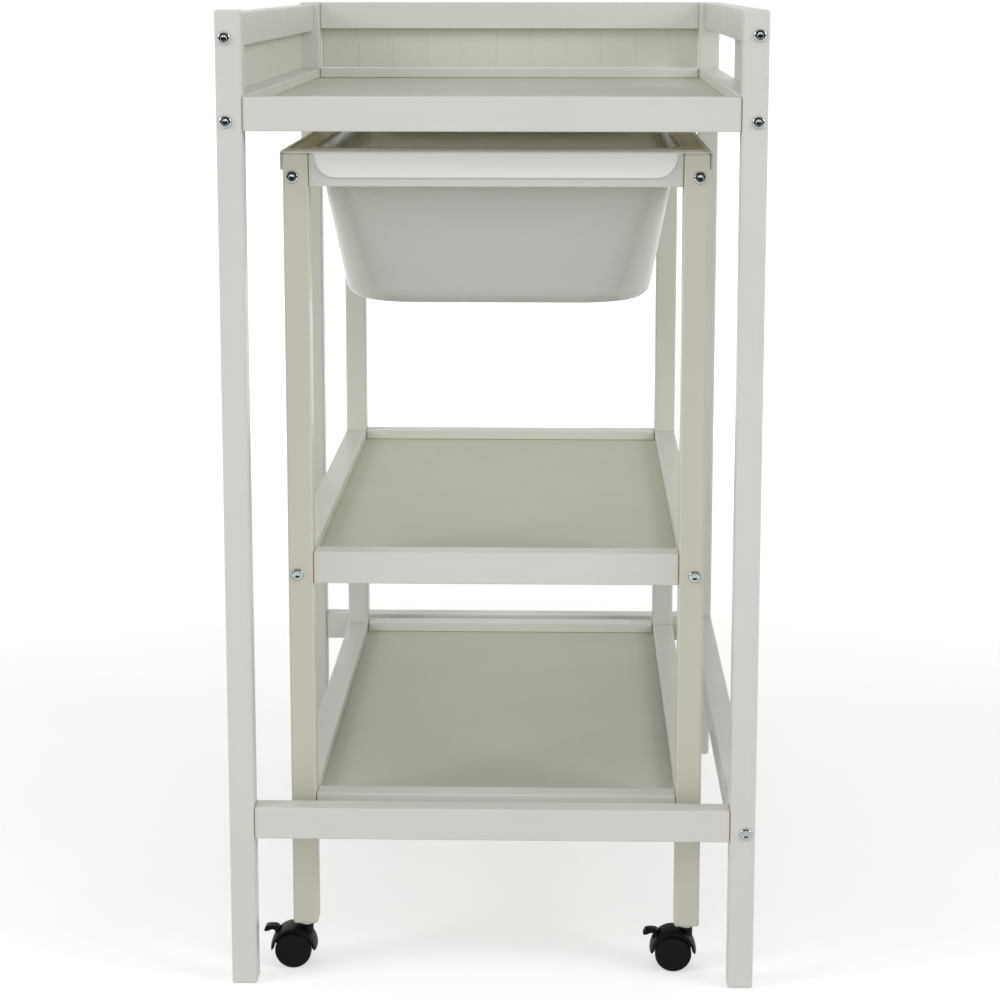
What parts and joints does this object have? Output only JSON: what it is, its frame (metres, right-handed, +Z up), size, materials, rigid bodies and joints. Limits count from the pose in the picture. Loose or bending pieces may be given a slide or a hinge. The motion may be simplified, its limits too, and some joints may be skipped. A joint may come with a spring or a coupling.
{
  "type": "changing table",
  "caption": "Changing table: guarded tray top on square posts, over a rolling trolley that carries a lift-out baby bath and open shelves.",
  "frame": {"origin": "floor level, centre of the table's footprint", "axes": "+Z up; +Y from the near narrow end towards the far, closed end; +X to the side with the lower stretcher; the trolley rolls out towards -X"},
  "size_m": [0.54, 0.83, 1],
  "materials": {
    "white_lacquered_wood": "satin white lacquer on solid wood",
    "cream_lacquered_wood": "satin off-white lacquer on solid wood",
    "painted_board": "satin white painted fibreboard",
    "bath_plastic": "semi-gloss moulded polypropylene",
    "black_nylon": "matte black nylon",
    "zinc_steel": "zinc-plated steel",
    "clear_plastic": "milky polyethylene"
  },
  "bodies": {
    "table": {"table_post_near_left": "white_lacquered_wood", "table_post_near_right": "white_lacquered_wood", "table_post_far_left": "white_lacquered_wood", "table_post_far_right": "white_lacquered_wood", "tray_rail_near": "white_lacquered_wood", "tray_rail_right": "white_lacquered_wood", "tray_rail_far": "white_lacquered_wood", "tray_rail_left": "white_lacquered_wood", "tray_board": "painted_board", "guard_rail_left": "white_lacquered_wood", "guard_rail_far": "white_lacquered_wood", "guard_rail_right": "white_lacquered_wood", "guard_panel_left": "painted_board", "guard_panel_far": "painted_board", "guard_panel_right": "painted_board", "stretcher_near": "white_lacquered_wood", "stretcher_far": "white_lacquered_wood", "stretcher_right": "white_lacquered_wood"},
    "trolley": {"trolley_leg_near_left": "cream_lacquered_wood", "trolley_leg_near_right": "cream_lacquered_wood", "trolley_leg_far_left": "cream_lacquered_wood", "trolley_leg_far_right": "cream_lacquered_wood", "trolley_top_rail_near": "white_lacquered_wood", "trolley_top_rail_right": "white_lacquered_wood", "trolley_top_rail_far": "white_lacquered_wood", "trolley_top_rail_left": "white_lacquered_wood", "trolley_middle_rail_near": "white_lacquered_wood", "trolley_middle_rail_right": "white_lacquered_wood", "trolley_middle_rail_far": "white_lacquered_wood", "trolley_middle_rail_left": "white_lacquered_wood", "trolley_middle_board": "painted_board", "trolley_bottom_rail_near": "white_lacquered_wood", "trolley_bottom_rail_right": "white_lacquered_wood", "trolley_bottom_rail_far": "white_lacquered_wood", "trolley_bottom_rail_left": "white_lacquered_wood", "trolley_bottom_board": "painted_board", "castor_near_left_socket": "clear_plastic", "castor_near_right_socket": "clear_plastic", "castor_far_left_socket": "clear_plastic", "castor_far_right_socket": "clear_plastic"},
    "bath": {"bath_tub": "bath_plastic"},
    "castor_near_left": {"castor_near_left_housing": "black_nylon", "castor_near_left_stem": "zinc_steel"},
    "wheels_near_left": {"castor_near_left_wheels": "black_nylon"},
    "brake_near_left": {"castor_near_left_brake": "black_nylon"},
    "castor_near_right": {"castor_near_right_housing": "black_nylon", "castor_near_right_stem": "zinc_steel"},
    "wheels_near_right": {"castor_near_right_wheels": "black_nylon"},
    "brake_near_right": {"castor_near_right_brake": "black_nylon"},
    "castor_far_left": {"castor_far_left_housing": "black_nylon", "castor_far_left_stem": "zinc_steel"},
    "wheels_far_left": {"castor_far_left_wheels": "black_nylon"},
    "brake_far_left": {"castor_far_left_brake": "black_nylon"},
    "castor_far_right": {"castor_far_right_housing": "black_nylon", "castor_far_right_stem": "zinc_steel"},
    "wheels_far_right": {"castor_far_right_wheels": "black_nylon"},
    "brake_far_right": {"castor_far_right_brake": "black_nylon"}
  },
  "joints": [
    {"name": "trolley_slide", "type": "slide", "parent": "table", "child": "trolley", "axis": [-1, 0, 0], "range_m": [0, 0.6]},
    {"name": "bath_lift", "type": "slide", "parent": "trolley", "child": "bath", "axis": [0, 0, 1], "range_m": [0, 0.018]},
    {"name": "swivel_near_left", "type": "hinge", "parent": "trolley", "child": "castor_near_left", "pos_m": [-0.1975, -0.355, 0.04], "axis": [0, 0, 1], "continuous": true},
    {"name": "roll_near_left", "type": "hinge", "parent": "castor_near_left", "child": "wheels_near_left", "pos_m": [-0.2112, -0.355, 0.0192], "axis": [0, 1, 0], "continuous": true},
    {"name": "brake_press_near_left", "type": "hinge", "parent": "castor_near_left", "child": "brake_near_left", "pos_m": [-0.2277, -0.355, 0.03405], "axis": [0, -1, 0], "range_deg": [0, 18]},
    {"name": "swivel_near_right", "type": "hinge", "parent": "trolley", "child": "castor_near_right", "pos_m": [0.2035, -0.355, 0.04], "axis": [0, 0, 1], "continuous": true},
    {"name": "roll_near_right", "type": "hinge", "parent": "castor_near_right", "child": "wheels_near_right", "pos_m": [0.1898, -0.355, 0.0192], "axis": [0, 1, 0], "continuous": true},
    {"name": "brake_press_near_right", "type": "hinge", "parent": "castor_near_right", "child": "brake_near_right", "pos_m": [0.1733, -0.355, 0.03405], "axis": [0, -1, 0], "range_deg": [0, 18]},
    {"name": "swivel_far_left", "type": "hinge", "parent": "trolley", "child": "castor_far_left", "pos_m": [-0.1975, 0.355, 0.04], "axis": [0, 0, 1], "continuous": true},
    {"name": "roll_far_left", "type": "hinge", "parent": "castor_far_left", "child": "wheels_far_left", "pos_m": [-0.2112, 0.355, 0.0192], "axis": [0, 1, 0], "continuous": true},
    {"name": "brake_press_far_left", "type": "hinge", "parent": "castor_far_left", "child": "brake_far_left", "pos_m": [-0.2277, 0.355, 0.03405], "axis": [0, -1, 0], "range_deg": [0, 18]},
    {"name": "swivel_far_right", "type": "hinge", "parent": "trolley", "child": "castor_far_right", "pos_m": [0.2035, 0.355, 0.04], "axis": [0, 0, 1], "continuous": true},
    {"name": "roll_far_right", "type": "hinge", "parent": "castor_far_right", "child": "wheels_far_right", "pos_m": [0.1898, 0.355, 0.0192], "axis": [0, 1, 0], "continuous": true},
    {"name": "brake_press_far_right", "type": "hinge", "parent": "castor_far_right", "child": "brake_far_right", "pos_m": [0.1733, 0.355, 0.03405], "axis": [0, -1, 0], "range_deg": [0, 18]}
  ]
}
